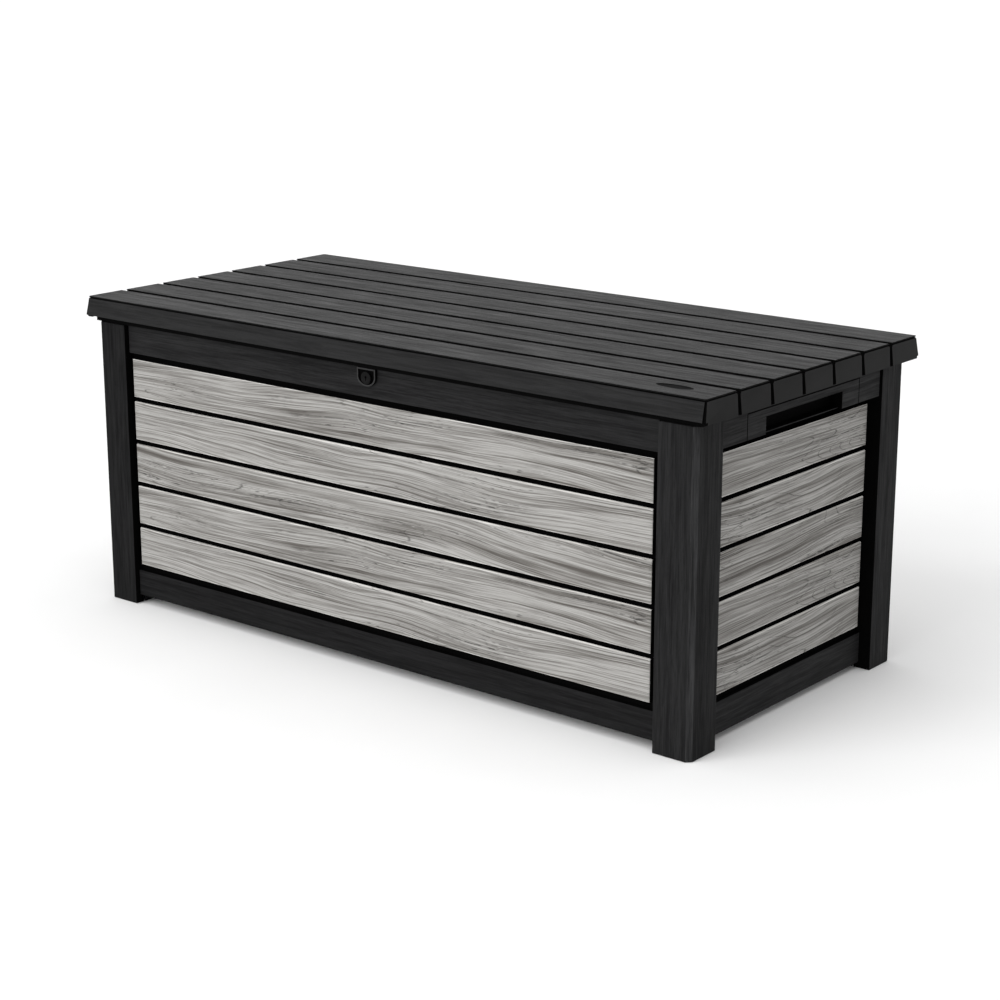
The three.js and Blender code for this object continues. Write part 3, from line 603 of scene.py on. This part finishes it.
LID_Z0, LID_Z1 = 608.0, 651.5
LID_HALF_X, LID_HALF_Y = 774.0, 362.0
LID_LEAN_X, LID_LEAN_Y = 4.0, 8.0
LID_CAVITY_X, LID_CAVITY_Y = 762.0, 353.0
LID_GROOVE_FLOOR = 644.5
LINER_HALF_X, LINER_HALF_Y = 757.0, 345.0
POST_INNER_X, POST_INNER_Y = 670.0, 268.0
BACKING_X, BACKING_Y = 714.7, 327.7
RAIL_X, END_BOTTOM_RAIL_X, RAIL_Y = 746.0, 727.0, 339.0
TOP_RAIL_Z0, END_TOP_RAIL_Z0, RAIL_TOP = 542.5, 545.5, 600.0
BOTTOM_RAIL_TOP = 74.0
SLACK = 0.5  # catches the faces that lie on a limit
POST_LOOK_INSET = 0.7  # how far before the backing sheets the posts take the near-black painted shade
KEPT_EDGE = 1.2  # a rail's rounded edge has the rail's look
DARK_EDGE = 0.1  # and here it has the near-black painted shade
GRIP_SILL_X, GRIP_HALF_Y, GRIP_TOP = 738.0, 188.0, 593.5


def lid_painted_shade(at, normal):
    """Faces that take the near-black painted shade: the slat grooves, the line round the rim and the notches
    down the corners.
    """
    rise = (at.z - LID_Z0) / (LID_Z1 - LID_Z0)
    sunk_x = abs(at.x) < LID_HALF_X - LID_LEAN_X * rise - 0.4
    sunk_y = abs(at.y) < LID_HALF_Y - LID_LEAN_Y * rise - 0.4
    if not (sunk_x and sunk_y) or at.z > LID_Z1 - 0.3:
        return False
    outside = abs(at.x) > LID_CAVITY_X + 0.5 or abs(at.y) > LID_CAVITY_Y + 0.2
    return outside or (at.z > LID_GROOVE_FLOOR - 0.3 and normal.z > -0.5)


def lid_look(at, normal):
    if lid_painted_shade(at, normal):
        return 1
    return 2 if abs(normal.x) > 0.9 else 0


# The liner's outer rim faces, in the gap under the lid, take the near-black painted shade.
def liner_painted_shade(at, normal):
    return abs(at.y) > LINER_HALF_Y - 0.6 or abs(at.x) > LINER_HALF_X - 0.6


# Material 1, the near-black painted shade, goes on the faces beside the backing sheets; material 2, a
# lighter painted highlight, goes on the chamfers.
def post_look(at, normal):
    beside_end = abs(at.y) < POST_INNER_Y + SLACK and abs(at.x) > BACKING_X - POST_LOOK_INSET
    beside_long = abs(at.x) < POST_INNER_X + SLACK and abs(at.y) > BACKING_Y - POST_LOOK_INSET
    if beside_end or beside_long:
        return 1
    return 2 if min(abs(normal.x), abs(normal.y)) > 0.5 else 0


# Material 1 is the near-black painted shade on faces set back from the rails' fronts, down to the backing;
# material 2 is the darker bottom rail.
def long_panel_look(at, normal):
    edge = DARK_EDGE if abs(at.z - TOP_RAIL_Z0) < 1.4 else KEPT_EDGE
    if BACKING_Y - SLACK < abs(at.y) < RAIL_Y - edge and at.z < RAIL_TOP - SLACK:
        return 1
    return 2 if at.z < BOTTOM_RAIL_TOP + SLACK else 0


# Faces that take the near-black painted shade: those set back from the rails' fronts, down to the backing,
# with the seams round the grip and the edge under the top rail.
def end_panel_painted_shade(at, normal):
    front = RAIL_X if at.z > END_TOP_RAIL_Z0 - 1 else END_BOTTOM_RAIL_X
    beside_grip = at.z > END_TOP_RAIL_Z0 + 2 and abs(abs(at.y) - GRIP_HALF_Y) < 1.5
    above_grip = abs(at.z - GRIP_TOP) < 1.5 and abs(at.y) < GRIP_HALF_Y
    under_rail = abs(at.z - END_TOP_RAIL_Z0) < 1.4
    edge = DARK_EDGE if beside_grip or above_grip or under_rail else KEPT_EDGE
    return BACKING_X - SLACK < abs(at.x) < front - edge and at.z < RAIL_TOP - SLACK


# Faces set back from the rail's front, apart from the sill's face, take the near-black painted shade.
def grip_painted_shade(at, normal):
    return abs(at.x) < RAIL_X - 0.1 and abs(abs(at.x) - GRIP_SILL_X) > 0.1


PANEL_BEVEL, LID_BEVEL, LINER_BEVEL, GRIP_BEVEL, FLOOR_BEVEL = 1.2, 0.5, 0.8, 1.0, 0.8


def corner_post(side_y, side_x):
    # The cuts split the post's faces where the painted shade begins.
    cuts = [
        (0, (BACKING_X - POST_LOOK_INSET) * (1 if side_x == "right" else -1)),
        (1, (BACKING_Y - POST_LOOK_INSET) * (1 if side_y == "back" else -1)),
    ]
    # The front-left post takes the darker copy: painted shade.
    shade = "post_painted_shade" if (side_y, side_x) == ("front", "left") else "post"
    looks = (shade, "recess", "post_painted_highlight")
    finished_solid(f"corner_post_{side_y}_{side_x}", looks, PANEL_BEVEL, post_look, cuts, refill=True)


finished_solid("lid_shell", ("lid", "recess", "lid_end"), LID_BEVEL, lid_look)
finished_solid("lid_liner", ("liner", "recess"), LINER_BEVEL, liner_painted_shade, refill=True)
for side_y in ("front", "back"):
    finished_solid(f"{side_y}_panel", ("rail_x", "recess", "rail_low"), PANEL_BEVEL, long_panel_look)
    for side_x in ("left", "right"):
        corner_post(side_y, side_x)
for side in ("left", "right"):
    finished_solid(f"{side}_panel", ("rail_y", "recess"), PANEL_BEVEL, end_panel_painted_shade, refill=True)
    finished_solid(f"grip_{side}", ("rail_y", "recess"), GRIP_BEVEL, grip_painted_shade)
finished_solid("floor_panel", "floor", FLOOR_BEVEL, refill=True)

# ---------------------------------------------------------------- oval plate


PLATE_SIDES = 72
# Share of the outline's size, and height in millimetres above the plate's underside.
PLATE_RINGS = [(1.0, 0.0), (1.0, 1.2), (0.975, 1.65), (0.90, 1.7), (0.86, 1.2), (0.5, 1.25), (0.2, 1.3)]


def oval_plate():
    """The oval plate with a raised rim and a dished, empty face."""
    low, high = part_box("blank_oval_plate")
    centre, half = (low + high) / 2, (high - low) / 2
    bm = bmesh.new()
    rings = []
    for share, height in PLATE_RINGS:
        rings.append([
            bm.verts.new((
                centre.x + half.x * share * math.cos(t),
                centre.y + half.y * share * math.sin(t),
                low.z + height * MM,
            ))
            for t in (2 * math.pi * n / PLATE_SIDES for n in range(PLATE_SIDES))
        ])
    for first, second in zip(rings, rings[1:]):
        for n in range(PLATE_SIDES):
            m = (n + 1) % PLATE_SIDES
            bm.faces.new((first[n], first[m], second[m], second[n]))
    bm.faces.new(rings[0][::-1])
    bm.faces.new(rings[-1])
    mesh = to_mesh(bm, "oval_plate")
    add_piece("blank_oval_plate.finished", mesh, "plate", "lid", ["blank_oval_plate"])


oval_plate()

# ---------------------------------------------------------------- lock

SHIELD_FACE_Y = -345.0


# Faces behind the shield's front take the near-black painted shade.
def shield_look(at, normal):
    return at.y > SHIELD_FACE_Y + 0.5


finished_solid("lock_shield", ("trim", "recess"), 0.7, shield_look)
for node, look, bevel in (
    ("lock_barrel", "barrel", 0.35),
    ("lock_nut", "lock", 0.5),
    ("lock_cam", "lock", 0.4),
    ("lock_hook", "hinge", 0.6),
):
    finished_solid(node, look, bevel)

# ---------------------------------------------------------------- hinges and screws


SCREW_RADIUS, SCREW_HEIGHT = 3.6, 1.6
CROSS_HALF_LENGTH, CROSS_HALF_WIDTH = 2.1, 0.35
CROSS_Z = [1.45, 1.68]
CROSS_TURN = 0.35  # radians


def screw_head():
    """A domed head, standing on Z = 0."""
    return lathe([
        (0, 0), (SCREW_RADIUS, 0), (SCREW_RADIUS, 0.45), (SCREW_RADIUS * 0.86, SCREW_HEIGHT * 0.75),
        (SCREW_RADIUS * 0.5, SCREW_HEIGHT), (0, SCREW_HEIGHT),
    ], 28)


def screws(name, body, spots, outward):
    """Screw heads. A cross that stands 0.08 mm proud takes the place of the recess in each."""
    bm = bmesh.new()
    turn = outward.to_track_quat("Z", "Y").to_matrix().to_4x4()
    arm = [[-CROSS_HALF_LENGTH, CROSS_HALF_LENGTH], [-CROSS_HALF_WIDTH, CROSS_HALF_WIDTH], CROSS_Z]
    for spot in spots:
        place = Matrix.Translation(Vector(spot) * MM) @ turn
        merged(bm, screw_head(), place)
        for angle in (CROSS_TURN, CROSS_TURN + math.pi / 2):
            merged(bm, cells(arm, lambda x, y, z: True), place @ Matrix.Rotation(angle, 4, "Z"))
    add_piece(name, to_mesh(bm, name), "screw", body)


HINGE_X = [-480, 0, 480]
HINGE_BEVEL = 0.4
BOX_LEAF_FACE_Y, LID_LEAF_FACE_Y = 342.3, 349.7
BOX_SCREW_X, BOX_SCREW_Z = (-36, 0, 36), (568, 582)
LID_SCREW_X, LID_SCREW_Z = (-36, -12, 12, 36), 620

for number, x in enumerate(HINGE_X, 1):
    finished_solid(f"hinge_box_leaf_{number}", "hinge", HINGE_BEVEL)
    finished_solid(f"hinge_lid_leaf_{number}", "hinge", HINGE_BEVEL)
    finished_solid(f"hinge_pin_{number}", "lock", HINGE_BEVEL)
    box_spots = [(x + dx, BOX_LEAF_FACE_Y, z) for dx in BOX_SCREW_X for z in BOX_SCREW_Z]
    screws(f"hinge_box_screws_{number}", "box", box_spots, Y)
    lid_spots = [(x + dx, LID_LEAF_FACE_Y, LID_SCREW_Z) for dx in LID_SCREW_X]
    screws(f"hinge_lid_screws_{number}", "lid", lid_spots, -Y)

# ---------------------------------------------------------------- gas struts

STRUT_X = 650.0
STRUT_FOOT = (285.0, 360.0)
HINGE = (354.0, 601.0)
STRUT_HEAD_Z = 609.0
BRACKET_BEVEL = 0.5
BRACKET_FACE_X = 666.7
BRACKET_SCREW_DZ = (-15, 15)
STRUT_ARM = math.hypot(HINGE[0] - STRUT_FOOT[0], HINGE[1] - STRUT_FOOT[1])
STRUT_HEAD_Y = HINGE[0] - math.sqrt(STRUT_ARM**2 - (STRUT_HEAD_Z - HINGE[1]) ** 2)
STRUT_LENGTH = math.hypot(STRUT_FOOT[0] - STRUT_HEAD_Y, STRUT_HEAD_Z - STRUT_FOOT[1])
STRUT_LEAN = math.atan2(STRUT_FOOT[0] - STRUT_HEAD_Y, STRUT_HEAD_Z - STRUT_FOOT[1])

TUBE_PROFILE = [
    (0, 7), (4.0, 7), (5.6, 8.5), (5.6, 15), (4.8, 16), (8.2, 16), (8.9, 17),
    (8.9, 226), (8.5, 226.8), (8.5, 228.2), (8.9, 229),
    (8.9, 236), (8.3, 239), (7.0, 240), (5.0, 240), (5.0, 25), (0, 25),
]
ROD_PROFILE = [
    (0, 35), (3.6, 35), (4.0, 36), (4.0, STRUT_LENGTH - 26), (5.4, STRUT_LENGTH - 25),
    (5.4, STRUT_LENGTH - 12), (4.2, STRUT_LENGTH - 8.5), (0, STRUT_LENGTH - 8.5),
]
EYE_PROFILE = [
    (4.3, -4.6), (4.6, -5), (8.2, -5), (8.8, -4.2),
    (8.8, 4.2), (8.2, 5), (4.6, 5), (4.3, 4.6), (4.3, -4.6),
]

for side_name, side in (("left", -1), ("right", 1)):
    place = Matrix.Translation((side * STRUT_X * MM, STRUT_FOOT[0] * MM, STRUT_FOOT[1] * MM))
    place = place @ Matrix.Rotation(STRUT_LEAN, 4, "X")
    sideways = Matrix.Rotation(math.pi / 2, 4, "Y")

    tube = bmesh.new()
    merged(tube, lathe(TUBE_PROFILE), place)
    merged(tube, lathe(EYE_PROFILE), place @ sideways)
    add_piece(f"strut_tube_{side_name}.finished", to_mesh(tube, "tube", 38), "tube",
              f"strut_tube_{side_name}", [f"strut_tube_{side_name}"])

    rod = bmesh.new()
    merged(rod, lathe(ROD_PROFILE, 32), place)
    merged(rod, lathe(EYE_PROFILE), place @ Matrix.Translation((0, 0, STRUT_LENGTH * MM)) @ sideways)
    add_piece(f"strut_rod_{side_name}.finished", to_mesh(rod, "rod", 38), "rod",
              f"strut_rod_{side_name}", [f"strut_rod_{side_name}"])

    finished_solid(f"strut_foot_{side_name}", "hinge", BRACKET_BEVEL)
    finished_solid(f"strut_head_{side_name}", "hinge", BRACKET_BEVEL)
    spots = [(side * BRACKET_FACE_X, STRUT_FOOT[0], STRUT_FOOT[1] + dz) for dz in BRACKET_SCREW_DZ]
    screws(f"strut_foot_screws_{side_name}", "box", spots, -X * side)

# ---------------------------------------------------------------- stage, lights and camera

FLOOR_HALF = 70.0  # metres
FLOOR_Z = -0.0005


def stage_floor():
    bm = bmesh.new()
    for x, y in ((-1, -1), (1, -1), (1, 1), (-1, 1)):
        bm.verts.new((x * FLOOR_HALF, y * FLOOR_HALF, FLOOR_Z))
    bm.faces.new(bm.verts)
    mesh = bpy.data.meshes.new("studio_floor")
    bm.to_mesh(mesh)
    bm.free()
    g = Graph("studio_floor")
    cloud = g.noise(g.coords.outputs["Object"], scale=2.0, detail=2)
    shade = g.mix(g.spread(cloud, 0.3, 0.7), (0.90, 0.90, 0.90, 1), (0.92, 0.92, 0.92, 1))
    mesh.materials.append(g.finish(shade, 0.9, Specular_IOR_Level=0.0))
    floor = bpy.data.objects.new("studio_floor", mesh)
    bpy.context.scene.collection.objects.link(floor)


def soft_sun(name, towards, width, strength):
    """Even light from one side; width is how many degrees of the sky it fills."""
    data = bpy.data.lights.new(name, "SUN")
    data.angle = math.radians(width)
    data.energy = strength
    light = bpy.data.objects.new(name, data)
    light.rotation_mode = "QUATERNION"
    light.rotation_quaternion = (-Vector(towards)).to_track_quat("-Z", "Y")
    bpy.context.scene.collection.objects.link(light)


def studio_sky(low_light, high_light):
    """White round the horizon and dimmer overhead."""
    world = bpy.data.worlds.new("studio")
    world.use_nodes = True
    nodes, links = world.node_tree.nodes, world.node_tree.links
    direction = nodes.new("ShaderNodeTexCoord")
    split = nodes.new("ShaderNodeSeparateXYZ")
    fade = nodes.new("ShaderNodeMapRange")
    fade.inputs["From Min"].default_value = 0.30
    fade.inputs["From Max"].default_value = 0.70
    fade.inputs["To Min"].default_value = low_light
    fade.inputs["To Max"].default_value = high_light
    links.new(direction.outputs["Generated"], split.inputs[0])
    links.new(split.outputs["Z"], fade.inputs["Value"])
    links.new(fade.outputs[0], nodes["Background"].inputs["Strength"])
    nodes["Background"].inputs["Color"].default_value = (1, 1, 1, 1)
    bpy.context.scene.world = world


stage_floor()
soft_sun("overhead", (-0.05, -0.15, 1.0), 80, 1.4)
soft_sun("key", (-0.30, -0.85, 0.42), 50, 1.8)
studio_sky(1.0, 0.35)
bpy.context.scene.view_settings.view_transform = "Standard"

CAMERA_PLACE = (2.7498, -3.3242, 1.4592)
CAMERA_AZIMUTH = math.radians(39.155)
CAMERA_ELEVATION = math.radians(15.406)
CAMERA_LENS = 79.459

camera_data = bpy.data.cameras.new("camera")
camera_data.lens = CAMERA_LENS
camera_data.sensor_width = 36
camera_data.clip_end = 100
camera = bpy.data.objects.new("camera", camera_data)
camera.location = CAMERA_PLACE
camera.rotation_euler = (math.pi / 2 - CAMERA_ELEVATION, 0, CAMERA_AZIMUTH)
bpy.context.scene.collection.objects.link(camera)
bpy.context.scene.camera = camera
